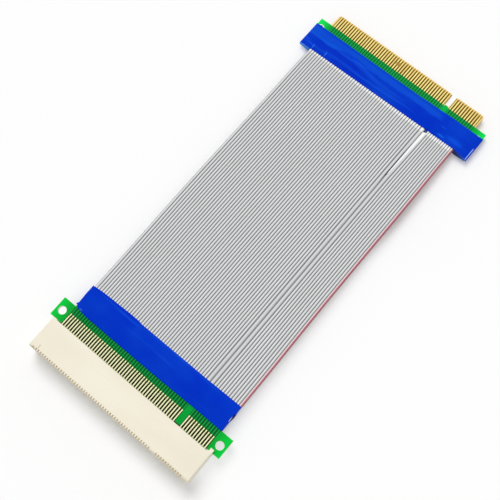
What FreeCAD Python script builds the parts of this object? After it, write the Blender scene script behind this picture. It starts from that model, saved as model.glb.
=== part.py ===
import FreeCAD, Part
import os
import Sketcher
from FreeCAD import Vector

# Flexible riser for a 32-bit, 5 volt keyed expansion slot. A plug board with an edge connector and a
# slot board with a slot connector are joined by two layers of flat cable, and tape covers the joints.
# X runs along the contact rows, Y from the slot's mouth to the plug's tip, Z up from the table.
SIZES = {
    # Contact positions shared by the fingers, the slot and the flat cable
    "contact_pitch": 1.27,
    "position_count": 62,
    "key_position": 50,
    "key_span": 2,
    # Laminate and etched copper of both boards
    "board_thickness": 1.6,
    "land_thickness": 0.05,
    # Slot board: a tab with a mounting hole at each end, and a neck under the wrap
    "tab_depth": 9.0,
    "tab_overhang": 3.3,
    "neck_margin": 0.8,
    "mount_hole_diameter": 3.6,
    "mount_hole_inset": 2.9,
    "mount_hole_setback": 4.2,
    "pad_width": 0.7,
    "pad_setback": 0.4,
    # Plug board: a wide strip and a narrower edge tab with a key notch
    "plug_shoulder": 5.65,
    "plug_strip_depth": 3.3,
    "edge_tab_depth": 6.8,
    "edge_tab_margin": 1.3,
    "edge_tab_chamfer": 1.0,
    "tip_bevel_length": 1.0,
    "tip_bevel_depth": 0.4,
    "key_notch_width": 2.3,
    "key_notch_depth": 6.2,
    "key_notch_chamfer": 0.5,
    "tooling_hole_diameter": 2.4,
    "tooling_hole_inset": 2.4,
    "tooling_hole_setback": 4.0,
    "finger_width": 0.95,
    "finger_setback": 1.1,
    # Slot connector: moulded housing and sprung contacts
    "housing_end_wall": 2.15,
    "housing_thickness": 9.4,
    "housing_height": 14.5,
    "housing_chamfer": 0.5,
    "standoff_height": 0.5,
    "standoff_width": 2.0,
    "peg_width": 1.6,
    "peg_length": 1.9,
    "peg_height": 1.2,
    "pin_mark_width": 0.4,
    "pin_mark_length": 3.0,
    "pin_mark_depth": 0.3,
    "slot_width": 1.8,
    "slot_depth": 8.0,
    "slot_clearance": 0.2,
    "cavity_width": 0.7,
    "cavity_depth": 0.75,
    "contact_width": 0.6,
    "contact_thickness": 0.25,
    "contact_preload": 0.1,
    "crown_setback": 3.5,
    "tip_setback": 1.2,
    "tip_relief": 0.5,
    "tail_length": 4.2,
    # Flat cable, its soldered wire ends and the tape
    "ribbon_thickness": 0.9,
    "ribbon_web": 0.55,
    "ribbon_free_length": 143.0,
    "ribbon_grip": 4.0,
    "joint_width": 0.8,
    "joint_height": 0.6,
    "joint_length": 4.0,
    "tape_thickness": 0.3,
    "slot_wrap_depth": 11.5,
    "plug_wrap_depth": 12.7,
    "wrap_overhang": 1.2,
    "wrap_lip": 2.0,
    "wrap_slope": 1.5,
}

doc = FreeCAD.newDocument("flexible_riser")
sheet = doc.addObject("Spreadsheet::Sheet", "Sizes")
for row, (name, size) in enumerate(SIZES.items(), start=1):
    sheet.set(f"A{row}", name)
    sheet.set(f"B{row}", str(size))
    sheet.setAlias(f"B{row}", name)
doc.recompute()


def position_x(number):
    """Distance of a contact position from the middle of the row."""
    return f"(({number} - (Sizes.position_count + 1) / 2) * Sizes.contact_pitch)"


# The key takes some positions and parts each row into a long and a short run of contacts.
LONG_COUNT = "(Sizes.key_position - 1)"
SHORT_FIRST = "(Sizes.key_position + Sizes.key_span)"
SHORT_COUNT = f"(Sizes.position_count - {SHORT_FIRST} + 1)"
CONTACT_RUNS = (("1", LONG_COUNT), (SHORT_FIRST, SHORT_COUNT))
KEY_X = position_x("(Sizes.key_position + (Sizes.key_span - 1) / 2)")

# Half-widths, each worked out from the last contact in the row
LAST_X = position_x("Sizes.position_count")
RIBBON_EDGE = f"({LAST_X} + Sizes.contact_pitch / 2)"
NECK_EDGE = f"({LAST_X} + Sizes.neck_margin)"
EDGE_TAB_EDGE = f"({LAST_X} + Sizes.edge_tab_margin)"
PLUG_BOARD_EDGE = f"({EDGE_TAB_EDGE} + Sizes.plug_shoulder)"
SLOT_EDGE = f"({EDGE_TAB_EDGE} + Sizes.slot_clearance)"
HOUSING_EDGE = f"({SLOT_EDGE} + Sizes.housing_end_wall)"
TAB_EDGE = f"({HOUSING_EDGE} + Sizes.tab_overhang)"

# Heights above a board's middle plane
BOARD_TOP = "(Sizes.board_thickness / 2)"
LAND_TOP = f"({BOARD_TOP} + Sizes.land_thickness)"
CABLE_TOP = f"({BOARD_TOP} + Sizes.ribbon_thickness)"
WRAP_TOP = f"({CABLE_TOP} + Sizes.tape_thickness)"
LIP_TOP = f"({LAND_TOP} + Sizes.tape_thickness)"

# Places along the slot board, from the housing's rear face towards the plug
TAB_REAR = "(Sizes.standoff_height + Sizes.tab_depth)"
SLOT_WRAP_REAR = f"({TAB_REAR} + Sizes.slot_wrap_depth)"
SLOT_BOARD_REAR = f"({SLOT_WRAP_REAR} - Sizes.wrap_overhang)"
SLOT_CABLE_END = f"({SLOT_WRAP_REAR} - Sizes.ribbon_grip)"
TAIL_END = "(Sizes.standoff_height + Sizes.tail_length)"
MOUTH = "(-Sizes.housing_height)"

# Places along the plug board, from the shoulder of its edge tab towards the tip
PLUG_WRAP_FRONT = "(-Sizes.plug_strip_depth)"
PLUG_WRAP_REAR = f"({PLUG_WRAP_FRONT} - Sizes.plug_wrap_depth)"
PLUG_BOARD_REAR = f"({PLUG_WRAP_REAR} + Sizes.wrap_overhang)"
PLUG_CABLE_END = f"({PLUG_WRAP_REAR} + Sizes.ribbon_grip)"

# The part lies on the housing's side and on the plug's wrap, with its middle over the origin.
TOTAL_LENGTH = (
    f"(Sizes.housing_height + {SLOT_WRAP_REAR} + Sizes.ribbon_free_length"
    f" - {PLUG_WRAP_REAR} + Sizes.edge_tab_depth)"
)
SLOT_END = (f"(Sizes.housing_height - {TOTAL_LENGTH} / 2)", "(Sizes.housing_thickness / 2)")
PLUG_END = (f"({TOTAL_LENGTH} / 2 - Sizes.edge_tab_depth)", WRAP_TOP)
CABLE_DROP = f"({PLUG_END[1]} - {SLOT_END[1]})"

NORMAL_SIGN = {"XY_Plane": "", "XZ_Plane": "-", "YZ_Plane": ""}
nodes = []


def value(expression):
    return float(sheet.evalExpression(expression))


def new_body(label, place):
    """Body in the frame of one end of the riser: its Y and Z are a pair of expressions."""
    body = doc.addObject("PartDesign::Body", label)
    body.Label = label
    body.AllowCompound = True
    body.setExpression("Placement.Base.y", place[0])
    body.setExpression("Placement.Base.z", place[1])
    nodes.append(body)
    return body


def origin_feature(body, role):
    return next(feature for feature in body.Origin.OriginFeatures if feature.Role == role)


def hold(sketch, direction, geometry, expression):
    """Holds the start of a line at a distance from the sketch's origin."""
    constraint = Sketcher.Constraint(direction, -1, 1, geometry, 1, value(expression))
    index = sketch.addConstraint(constraint)
    sketch.setExpression(f"Constraints[{index}]", expression)


def new_sketch(body, plane, offset):
    """Sketch on an origin plane of the body, moved along that plane's axis."""
    sketch = body.newObject("Sketcher::SketchObject", "Sketch")
    sketch.AttachmentSupport = [(origin_feature(body, plane), "")]
    sketch.MapMode = "FlatFace"
    sketch.setExpression("AttachmentOffset.Base.z", f"{NORMAL_SIGN[plane]}{offset}")
    return sketch


def draw_outline(sketch, corners):
    """Closed outline of straight lines with a pair of expressions for each corner."""
    first = sketch.GeometryCount
    points = [Vector(value(across), value(along), 0) for across, along in corners]
    for start, end in zip(points, points[1:] + points[:1]):
        sketch.addGeometry(Part.LineSegment(start, end))
    for index, (across, along) in enumerate(corners):
        following = first + (index + 1) % len(corners)
        sketch.addConstraint(Sketcher.Constraint("Coincident", first + index, 2, following, 1))
        hold(sketch, "DistanceX", first + index, across)
        hold(sketch, "DistanceY", first + index, along)


def draw_circle(sketch, across, along, diameter):
    centre = Vector(value(across), value(along), 0)
    circle = sketch.addGeometry(Part.Circle(centre, Vector(0, 0, 1), value(diameter) / 2))
    for direction, expression in (("DistanceX", across), ("DistanceY", along)):
        constraint = Sketcher.Constraint(direction, -1, 1, circle, 3, value(expression))
        index = sketch.addConstraint(constraint)
        sketch.setExpression(f"Constraints[{index}]", expression)
    index = sketch.addConstraint(Sketcher.Constraint("Diameter", circle, value(diameter)))
    sketch.setExpression(f"Constraints[{index}]", diameter)


def rectangle(left, right, low, high):
    return [(left, low), (right, low), (right, high), (left, high)]


def outline_sketch(body, plane, offset, *outlines):
    sketch = new_sketch(body, plane, offset)
    for corners in outlines:
        draw_outline(sketch, corners)
    return sketch


def extrude(body, kind, sketch, length, side="One side", reverse=False):
    """Pad or Pocket of a sketch, with its length bound to an expression."""
    feature = body.newObject(f"PartDesign::{kind}", kind)
    feature.Profile = sketch
    feature.SideType = side
    feature.Reversed = reverse
    feature.setExpression("Length", length)
    doc.recompute()
    return feature


def repeat(body, features, count):
    """Copies features along X, one contact position apart."""
    pattern = body.newObject("PartDesign::LinearPattern", "Row")
    pattern.Originals = features
    pattern.Direction = (origin_feature(body, "X_Axis"), [""])
    pattern.Mode = "Spacing"
    pattern.setExpression("Offset", "Sizes.contact_pitch")
    pattern.setExpression("Occurrences", count)
    body.Tip = pattern
    doc.recompute()


def mirrored_below(body, label, place):
    """The same pieces on the underside of a board."""
    mirror = doc.addObject("Part::Mirroring", label)
    mirror.Label = label
    mirror.Source = body
    mirror.Normal = Vector(0, 0, 1)
    mirror.setExpression("Base.z", place[1])
    nodes.append(mirror)


def drill_pair(body, across, along, diameter):
    sketch = new_sketch(body, "XY_Plane", "0")
    for sign in ("-", ""):
        draw_circle(sketch, f"{sign}{across}", along, diameter)
    extrude(body, "Pocket", sketch, "2 * Sizes.board_thickness", side="Symmetric")


def slot_board():
    """Laminate routed to a T: tabs stand out at both ends beyond the neck that the tape covers."""
    body = new_body("slot_board", SLOT_END)
    front = "Sizes.standoff_height"
    right = [(TAB_EDGE, front), (TAB_EDGE, TAB_REAR), (NECK_EDGE, TAB_REAR), (NECK_EDGE, SLOT_BOARD_REAR)]
    left = [(f"-{across}", along) for across, along in reversed(right)]
    sketch = outline_sketch(body, "XY_Plane", "0", right + left)
    extrude(body, "Pad", sketch, "Sizes.board_thickness", side="Symmetric")
    drill_pair(body, f"({TAB_EDGE} - Sizes.mount_hole_inset)", f"({front} + Sizes.mount_hole_setback)",
               "Sizes.mount_hole_diameter")


def plug_board():
    """Laminate with a shouldered edge tab, a key notch, corner cuts and a bevel along the tip."""
    body = new_body("plug_board", PLUG_END)
    tip, corner, nick = "Sizes.edge_tab_depth", "Sizes.edge_tab_chamfer", "Sizes.key_notch_chamfer"
    notch_floor = f"({tip} - Sizes.key_notch_depth)"

    def notch_side(sign):
        wall = f"({KEY_X} {sign} Sizes.key_notch_width / 2)"
        return [(f"({wall} {sign} {nick})", tip), (wall, f"({tip} - {nick})"), (wall, notch_floor)]

    right = [(PLUG_BOARD_EDGE, PLUG_BOARD_REAR), (PLUG_BOARD_EDGE, "0"), (EDGE_TAB_EDGE, "0"),
             (EDGE_TAB_EDGE, f"({tip} - {corner})"), (f"({EDGE_TAB_EDGE} - {corner})", tip)]
    left = [(f"-{across}", along) for across, along in reversed(right)]
    outline = right + notch_side("+") + notch_side("-")[::-1] + left
    sketch = outline_sketch(body, "XY_Plane", "0", outline)
    extrude(body, "Pad", sketch, "Sizes.board_thickness", side="Symmetric")
    bevel_start = f"({tip} - Sizes.tip_bevel_length)"
    bevel_edge = f"({BOARD_TOP} - Sizes.tip_bevel_depth)"
    bevels = [[(bevel_start, f"{sign}{BOARD_TOP}"), (tip, f"{sign}{BOARD_TOP}"), (tip, f"{sign}{bevel_edge}")]
              for sign in ("", "-")]
    sketch = outline_sketch(body, "YZ_Plane", "0", *bevels)
    extrude(body, "Pocket", sketch, f"2 * {PLUG_BOARD_EDGE}", side="Symmetric")
    drill_pair(body, f"({PLUG_BOARD_EDGE} - Sizes.tooling_hole_inset)", "-Sizes.tooling_hole_setback",
               "Sizes.tooling_hole_diameter")


def etched_lands(label, place, width, low, high):
    """Copper strips on a board's upper face, one for each contact, bare at one end and masked between."""
    body = new_body(label, place)
    for first, count in CONTACT_RUNS:
        middle = position_x(first)
        outline = rectangle(f"({middle} - {width} / 2)", f"({middle} + {width} / 2)", low, high)
        sketch = outline_sketch(body, "XY_Plane", BOARD_TOP, outline)
        repeat(body, [extrude(body, "Pad", sketch, "Sizes.land_thickness")], count)
    return body


def wire_joints(label, place, base, reach):
    """Soldered wire ends on the lands: each tapers from the end of the cable to a point."""
    body = new_body(label, place)
    for first, count in CONTACT_RUNS:
        middle = position_x(first)
        corners = [(f"({middle} - Sizes.joint_width / 2)", LAND_TOP),
                   (f"({middle} + Sizes.joint_width / 2)", LAND_TOP),
                   (middle, f"({LAND_TOP} + Sizes.joint_height)")]
        face = outline_sketch(body, "XZ_Plane", base, corners)
        end = new_sketch(body, "XZ_Plane", f"({base} + {reach})")
        end.addGeometry(Part.Point(Vector(value(middle), value(LAND_TOP), 0)))
        hold(end, "DistanceX", 0, middle)
        hold(end, "DistanceY", 0, LAND_TOP)
        doc.recompute()
        bead = body.newObject("PartDesign::AdditiveLoft", "Bead")
        bead.Profile = face
        bead.Sections = [(end, ["Vertex1"])]
        bead.Ruled = True
        doc.recompute()
        repeat(body, [bead], count)
    return body


def slot_housing():
    """Moulded housing: the card slot is parted by a key, and each position has a cavity across it."""
    body = new_body("slot_housing", SLOT_END)
    end, side = HOUSING_EDGE, "Sizes.housing_thickness / 2"
    sketch = outline_sketch(body, "XZ_Plane", "0", rectangle(f"-{end}", end, f"-{side}", side))
    block = extrude(body, "Pad", sketch, "Sizes.housing_height")

    rim = body.newObject("PartDesign::Chamfer", "MouthRim")
    mouth = value(MOUTH)
    rim.Base = (block, [f"Edge{number}" for number, edge in enumerate(block.Shape.Edges, start=1)
                        if abs(edge.BoundBox.YMax - mouth) < 1e-6])
    rim.setExpression("Size", "Sizes.housing_chamfer")
    doc.recompute()

    feet = [rectangle(f"-{end}", f"(Sizes.standoff_width - {end})", f"-{side}", side),
            rectangle(f"({end} - Sizes.standoff_width)", end, f"-{side}", side)]
    sketch = outline_sketch(body, "XZ_Plane", "0", *feet)
    extrude(body, "Pad", sketch, "Sizes.standoff_height", reverse=True)
    peg = rectangle(f"({end} - Sizes.peg_width)", end, BOARD_TOP, f"({BOARD_TOP} + Sizes.peg_height)")
    sketch = outline_sketch(body, "XZ_Plane", "0", peg)
    extrude(body, "Pad", sketch, "Sizes.peg_length", reverse=True)

    half_slot = "Sizes.slot_width / 2"
    half_key = "(Sizes.key_notch_width / 2 - Sizes.slot_clearance)"
    card_slots = [rectangle(f"-{SLOT_EDGE}", f"({KEY_X} - {half_key})", f"-{half_slot}", half_slot),
                  rectangle(f"({KEY_X} + {half_key})", SLOT_EDGE, f"-{half_slot}", half_slot)]
    sketch = outline_sketch(body, "XZ_Plane", MOUTH, *card_slots)
    extrude(body, "Pocket", sketch, "Sizes.slot_depth")

    cavity = f"({half_slot} + Sizes.cavity_depth)"
    for first, count in CONTACT_RUNS:
        middle = position_x(first)
        outline = rectangle(f"({middle} - Sizes.cavity_width / 2)", f"({middle} + Sizes.cavity_width / 2)",
                            f"-{cavity}", cavity)
        sketch = outline_sketch(body, "XZ_Plane", MOUTH, outline)
        repeat(body, [extrude(body, "Pocket", sketch, "Sizes.housing_height")], count)

    mark_x = f"({position_x('1')} + Sizes.pin_mark_width)"
    outline = rectangle(f"({mark_x} - Sizes.pin_mark_width / 2)", f"({mark_x} + Sizes.pin_mark_width / 2)",
                        MOUTH, f"({MOUTH} + Sizes.pin_mark_length)")
    sketch = outline_sketch(body, "XY_Plane", side, outline)
    body.Tip = extrude(body, "Pocket", sketch, "Sizes.pin_mark_depth")


def slot_contacts(label):
    """Stamped strips: a tail on its pad, a straight root in the housing, a crown and a flared tip."""
    body = new_body(label, SLOT_END)
    root = f"({MOUTH} + Sizes.slot_depth)"
    crown_y, tip_y = f"({MOUTH} + Sizes.crown_setback)", f"({MOUTH} + Sizes.tip_setback)"
    crown = f"({BOARD_TOP} - Sizes.contact_preload)"
    tip = "(Sizes.slot_width / 2 + Sizes.tip_relief)"
    upper = "+ Sizes.contact_thickness"
    profile = [(TAIL_END, LAND_TOP), (root, LAND_TOP), (crown_y, crown), (tip_y, tip),
               (crown_y, f"({crown} {upper})"), (root, f"({LAND_TOP} {upper})"),
               (TAIL_END, f"({LAND_TOP} {upper})")]
    for first, count in CONTACT_RUNS:
        sketch = outline_sketch(body, "YZ_Plane", position_x(first), profile)
        repeat(body, [extrude(body, "Pad", sketch, "Sizes.contact_width", side="Symmetric")], count)
    return body


def ribbon(label, side, first, count):
    """Strip of flat cable: ridged outside, flat against the boards, and level where they hold it."""
    body = new_body(label, SLOT_END)
    middle, half = position_x(first), "Sizes.contact_pitch / 2"
    runs = ((SLOT_CABLE_END, "Sizes.ribbon_grip", "0", "0"),
            (SLOT_WRAP_REAR, "Sizes.ribbon_free_length", "0", CABLE_DROP),
            (f"({SLOT_WRAP_REAR} + Sizes.ribbon_free_length)", "Sizes.ribbon_grip", CABLE_DROP, "0"))
    lengths = []
    for start, length, lift, drop in runs:
        levels = [f"({lift} {side} ({BOARD_TOP} {rise}))"
                  for rise in ("", "+ Sizes.ribbon_web", "+ Sizes.ribbon_thickness")]
        corners = [(f"({middle} - {half})", levels[0]), (f"({middle} + {half})", levels[0]),
                   (f"({middle} + {half})", levels[1]), (middle, levels[2]),
                   (f"({middle} - {half})", levels[1])]
        sketch = outline_sketch(body, "XZ_Plane", start, corners)
        run = extrude(body, "Pad", sketch, length, reverse=True)
        if drop != "0":
            run.Reversed = False
            run.UseCustomVector = True
            run.AlongSketchNormal = True
            run.setExpression("Direction.x", "0")
            run.setExpression("Direction.y", length)
            run.setExpression("Direction.z", drop)
            doc.recompute()
        lengths.append(run)
    repeat(body, lengths, count)


def tape_wrap(label, place, front, depth, facing, outline, board_edge):
    """Tape wound round a board and the cable ends: open in front for the board, behind for the cable."""
    body = new_body(label, place)
    towards_plug = facing == "-"
    rear = f"({front} {'+' if towards_plug else '-'} {depth})"
    sketch = outline_sketch(body, "XZ_Plane", front, outline)
    extrude(body, "Pad", sketch, depth, reverse=towards_plug)
    pockets = ((front, board_edge, LAND_TOP, "Sizes.wrap_overhang", not towards_plug),
               (rear, RIBBON_EDGE, CABLE_TOP, "Sizes.wrap_lip", towards_plug))
    for start, edge, top, remainder, reverse in pockets:
        sketch = outline_sketch(body, "XZ_Plane", start, rectangle(f"-{edge}", edge, f"-{top}", top))
        extrude(body, "Pocket", sketch, f"{depth} - {remainder}", reverse=reverse)
    slope_end = f"({front} {'+' if towards_plug else '-'} Sizes.wrap_slope)"
    slopes = [[(front, f"{sign}{LIP_TOP}"), (front, f"{sign}{WRAP_TOP}"), (slope_end, f"{sign}{WRAP_TOP}")]
              for sign in ("", "-")]
    sketch = outline_sketch(body, "YZ_Plane", "0", *slopes)
    extrude(body, "Pocket", sketch, f"3 * {board_edge}", side="Symmetric")


def slot_wrap():
    side, corner = f"({NECK_EDGE} + Sizes.tape_thickness)", "Sizes.tape_thickness"
    right = [(RIBBON_EDGE, f"-{WRAP_TOP}"), (side, f"-({WRAP_TOP} - {corner})"),
             (side, f"({WRAP_TOP} - {corner})"), (RIBBON_EDGE, WRAP_TOP)]
    left = [(f"-{across}", along) for across, along in reversed(right)]
    tape_wrap("slot_wrap", SLOT_END, TAB_REAR, "Sizes.slot_wrap_depth", "-", right + left, NECK_EDGE)


def plug_wrap():
    side = f"({PLUG_BOARD_EDGE} + Sizes.tape_thickness)"
    flat = f"({RIBBON_EDGE} + Sizes.tape_thickness)"
    right = [(flat, f"-{WRAP_TOP}"), (side, f"-{LIP_TOP}"), (side, LIP_TOP), (flat, WRAP_TOP)]
    left = [(f"-{across}", along) for across, along in reversed(right)]
    tape_wrap("plug_wrap", PLUG_END, PLUG_WRAP_FRONT, "Sizes.plug_wrap_depth", "+", right + left,
              PLUG_BOARD_EDGE)


slot_board()
pads_low = "(Sizes.standoff_height + Sizes.pad_setback)"
slot_lands = etched_lands("slot_lands_upper", SLOT_END, "Sizes.pad_width", pads_low, SLOT_CABLE_END)
mirrored_below(slot_lands, "slot_lands_lower", SLOT_END)
slot_housing()
contacts = slot_contacts("slot_contacts_upper")
mirrored_below(contacts, "slot_contacts_lower", SLOT_END)
slot_joints = wire_joints("slot_joints_upper", SLOT_END, SLOT_CABLE_END, "-Sizes.joint_length")
mirrored_below(slot_joints, "slot_joints_lower", SLOT_END)

plug_board()
fingers_high = "(Sizes.edge_tab_depth - Sizes.finger_setback)"
plug_lands = etched_lands("plug_lands_upper", PLUG_END, "Sizes.finger_width", PLUG_CABLE_END, fingers_high)
mirrored_below(plug_lands, "plug_lands_lower", PLUG_END)
plug_joints = wire_joints("plug_joints_upper", PLUG_END, PLUG_CABLE_END, "Sizes.joint_length")
mirrored_below(plug_joints, "plug_joints_lower", PLUG_END)

# A slit through the key parts each layer of cable into a long and a short strip, with a spare wire each.
spare = "floor(Sizes.key_span / 2)"
long_wires = f"({LONG_COUNT} + {spare})"
for layer, side in (("upper", "+"), ("lower", "-")):
    ribbon(f"long_ribbon_{layer}", side, "1", long_wires)
    ribbon(f"short_ribbon_{layer}", side, f"({long_wires} + 1)", f"(Sizes.position_count - {long_wires})")
slot_wrap()
plug_wrap()
doc.recompute()

for item in doc.Objects:
    if "Invalid" in item.State or "Error" in item.State:
        raise RuntimeError(f"{item.Label} failed: {item.State}")
os.makedirs("parts", exist_ok=True)
for node in nodes:
    if node.Shape.isNull() or not node.Shape.isValid() or not node.Shape.Solids:
        raise RuntimeError(f"{node.Label} has no valid solid")
    node.Shape.exportStep(f"parts/{node.Label}.step")
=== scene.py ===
import math

import bmesh
import bpy
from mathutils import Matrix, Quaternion, Vector, noise
from numpy import interp


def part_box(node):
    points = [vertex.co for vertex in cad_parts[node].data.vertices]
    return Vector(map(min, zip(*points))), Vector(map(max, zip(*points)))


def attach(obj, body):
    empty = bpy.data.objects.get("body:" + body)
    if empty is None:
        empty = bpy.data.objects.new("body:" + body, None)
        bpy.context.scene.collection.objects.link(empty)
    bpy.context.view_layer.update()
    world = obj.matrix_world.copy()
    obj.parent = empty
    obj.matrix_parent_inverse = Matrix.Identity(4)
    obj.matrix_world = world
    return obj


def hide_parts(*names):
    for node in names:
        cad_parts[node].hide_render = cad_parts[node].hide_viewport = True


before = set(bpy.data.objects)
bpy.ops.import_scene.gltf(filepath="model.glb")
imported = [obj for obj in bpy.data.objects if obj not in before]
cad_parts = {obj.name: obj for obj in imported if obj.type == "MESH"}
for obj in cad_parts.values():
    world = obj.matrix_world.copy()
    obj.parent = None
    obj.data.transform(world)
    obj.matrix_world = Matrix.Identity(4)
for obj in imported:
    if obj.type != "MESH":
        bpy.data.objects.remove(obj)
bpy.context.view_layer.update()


# Plug board: woven glass and epoxy under green solder mask, cut with shoulders and a key notch, and bevelled
# along its tip. The mask stops at the fingers. It looks brighter at both ends, where no copper backs it.
MM = 0.001
PITCH = 1.27 * MM
POSITIONS = 62
KEY_FIRST = 50
KEY_SPAN = 2
ROW_EDGE = POSITIONS * PITCH / 2
KEY_X = (KEY_FIRST + (KEY_SPAN - 1) / 2 - (POSITIONS + 1) / 2) * PITCH
FINGER_LENGTH = 6.8 * MM
FINGER_WIDTH = 0.8 * MM
KEY_HALF_WIDTH = 0.9 * MM
KEY_GAP = 2.7 * MM
BOARD_EDGE_BREAK = 0.06 * MM
PLY = 0.2 * MM
GLASS_PITCH = 0.45 * MM
WEAVE_DEPTH = 0.004 * MM
MASK_SHINE = 0.08
MASK_DRIFT = 4 * MM
HOLE_REACH = 2 * MM
HOLE_RING = 1.6 * MM
plug_low, plug_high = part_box("plug_board")
MASK_LINE = plug_high.y - FINGER_LENGTH
SCUFF_CENTRE = Vector((-4.7 * MM, plug_high.y - 3.4 * MM))
SCUFF_REACH = Vector((1.9 * MM, 1.3 * MM))


def tone(red, green, blue):
    """Linear colour of a tone written as it looks, 0 to 255 a channel."""
    shares = [channel / 255 for channel in (red, green, blue)]
    linear = [((share + 0.055) / 1.055) ** 2.4 if share > 0.04 else share / 12.92 for share in shares]
    return (*linear, 1.0)


SCUFF_TONE = tone(170, 126, 58)
HOLE_TONE = tone(250, 250, 244)


class Value:
    """One socket of a node tree. Arithmetic on it adds Math nodes to the tree."""

    def __init__(self, tree, socket=None):
        self.tree = tree
        self.socket = socket

    def node(self, kind, settings=None, inputs=None, output=0):
        """Adds a node, sets it up, feeds its inputs and gives back the chosen output."""
        added = self.tree.nodes.new(kind)
        for name, setting in (settings or {}).items():
            setattr(added, name, setting)
        for name, given in (inputs or {}).items():
            if isinstance(given, Value):
                self.tree.links.new(given.socket, added.inputs[name])
            else:
                added.inputs[name].default_value = given
        return Value(self.tree, added.outputs[output])

    def math(self, operation, other=0.0):
        """Any operation of a Math node, on this value and another."""
        return self.node("ShaderNodeMath", {"operation": operation}, {0: self, 1: other})

    def __add__(self, other):
        return self.math("ADD", other)

    def __sub__(self, other):
        return self.math("SUBTRACT", other)

    def __mul__(self, other):
        return self.math("MULTIPLY", other)

    def __truediv__(self, other):
        return self.math("DIVIDE", other)

    __radd__ = __add__
    __rmul__ = __mul__

    def __rsub__(self, other):
        return self.node("ShaderNodeMath", {"operation": "SUBTRACT"}, {0: other, 1: self})

    def __lt__(self, other):
        return self.math("LESS_THAN", other)

    def __gt__(self, other):
        return self.math("GREATER_THAN", other)

    def __abs__(self):
        return self.math("ABSOLUTE")

    def axes(self):
        """X, Y and Z of a vector."""
        split = self.node("ShaderNodeSeparateXYZ", inputs={0: self}).socket.node
        return [Value(self.tree, socket) for socket in split.outputs]

    def between(self, low, high, rise="SMOOTHSTEP"):
        """Rise from 0 at low to 1 at high."""
        return self.node("ShaderNodeMapRange", {"interpolation_type": rise},
                         {"Value": self, "From Min": low, "From Max": high})

    def wave(self, length):
        """Even wave from 0 to 1 along this value."""
        return (self * (2 * math.pi / length)).math("SINE") * 0.5 + 0.5

    def mix(self, none, full):
        """Colour that goes from none to full with this value."""
        return self.node("ShaderNodeMix", {"data_type": "RGBA"}, {0: self, 6: none, 7: full}, output=2)

    def stretched(self, across, along, upright):
        """Place with each axis multiplied, for a pattern that runs one way."""
        return self.node("ShaderNodeVectorMath", {"operation": "MULTIPLY"},
                         {0: self, 1: (across, along, upright)})

    def noise(self, scale, detail=2.0):
        """Soft irregular pattern from 0 to 1 over this place."""
        return self.node("ShaderNodeTexNoise", inputs={"Vector": self, "Scale": scale, "Detail": detail})


def new_finish(name, constants):
    """Material whose shader has these fixed values, and the place on the piece that its patterns read."""
    material = bpy.data.materials.new(name)
    material.use_nodes = True
    shader = material.node_tree.nodes["Principled BSDF"]
    for socket, constant in constants.items():
        shader.inputs[socket].default_value = constant
    return material, Value(material.node_tree).node("ShaderNodeTexCoord", output="Object")


def paint(value, socket):
    """Feeds a socket of the material's shader."""
    shader = value.tree.nodes["Principled BSDF"]
    value.tree.links.new(value.socket, shader.inputs[socket])


def relief(height, depth):
    """Bump from a height that runs from 0 to 1."""
    raised = height.node("ShaderNodeBump", inputs={"Height": height, "Distance": depth, "Strength": 1.0})
    paint(raised, "Normal")


def patch(place, centre, reach):
    """1 round a centre, fading to 0 at its reach, with a ragged edge."""
    x, y, _ = place.axes()
    away = ((x - centre.x) / reach.x).math("POWER", 2.0) + ((y - centre.y) / reach.y).math("POWER", 2.0)
    return 1 - (away + 0.8 * place.noise(1500.0)).between(0.5, 1.4)


def laminate_finish(name, low, high, hole, hole_ring, bare_low, bare_high, gap_and_shade_tones, mask_tones,
                    cut_tones=None):
    """Solder mask over laminate, open from bare_low to bare_high in Y, with a pale ring round each hole."""
    mask_inner = tone(10, 166, 52)
    mask_gap = tone(0, 86, 28)
    mask_outer, key_tone = mask_tones
    material, place = new_finish(name, {"Specular IOR Level": MASK_SHINE})
    x, y, z = place.axes()
    on_face = abs(z - (low.z + high.z) / 2) > (high.z - low.z) / 2 - BOARD_EDGE_BREAK / 2
    rows = (abs(x) < ROW_EDGE) * (abs(x - KEY_X) > KEY_GAP / 2)
    bare = (y > bare_low) * (y < bare_high) * (abs(x - KEY_X) > KEY_HALF_WIDTH)
    outwards = (abs(x) + MASK_DRIFT * (place.noise(90.0) - 0.5)).between(ROW_EDGE, high.x)
    plain = (abs(x) < ROW_EDGE).mix(outwards.mix(mask_inner, mask_outer), key_tone)
    cut = plain
    beside = plain
    if cut_tones:
        at_land = rows * (abs((x / PITCH).math("FRACT") - 0.5) < FINGER_WIDTH / PITCH / 2)
        cut = at_land.mix(*cut_tones)
        beside = cut_tones[1]
    gap_and_shade_tone = y.between(bare_low, bare_high).mix(*gap_and_shade_tones)
    masked = rows.mix(plain, mask_gap)
    opened = (0.8 * patch(place, SCUFF_CENTRE, SCUFF_REACH)).mix(rows.mix(beside, gap_and_shade_tone), SCUFF_TONE)
    plies = z.wave(PLY).mix(tone(142, 166, 92), tone(104, 134, 62))
    drilled = (abs(abs(x) - hole.x) < HOLE_REACH) * (abs(y - hole.y) < HOLE_REACH)
    edge = drilled.mix(bare.mix(plies, cut), HOLE_TONE)
    from_hole = ((abs(x) - hole.x).math("POWER", 2.0) + (y - hole.y).math("POWER", 2.0)).math("SQRT")
    face = (from_hole < hole_ring).mix(bare.mix(masked, opened), HOLE_TONE)
    paint(on_face.mix(edge, face), "Base Color")
    paint(0.3 + 0.12 * place.noise(400.0), "Roughness")
    relief(x.wave(GLASS_PITCH) * y.wave(GLASS_PITCH), WEAVE_DEPTH)
    return material


def new_piece(name, mesh, material, slot, *nodes):
    """Object for a finished mesh: it rides with the part and stands for its solids."""
    piece = bpy.data.objects.new(name, mesh)
    bpy.context.scene.collection.objects.link(piece)
    if material:
        mesh.materials.clear()
        mesh.materials.append(material)
    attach(piece, "root")
    if nodes:
        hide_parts(*nodes)
    return piece


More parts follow.
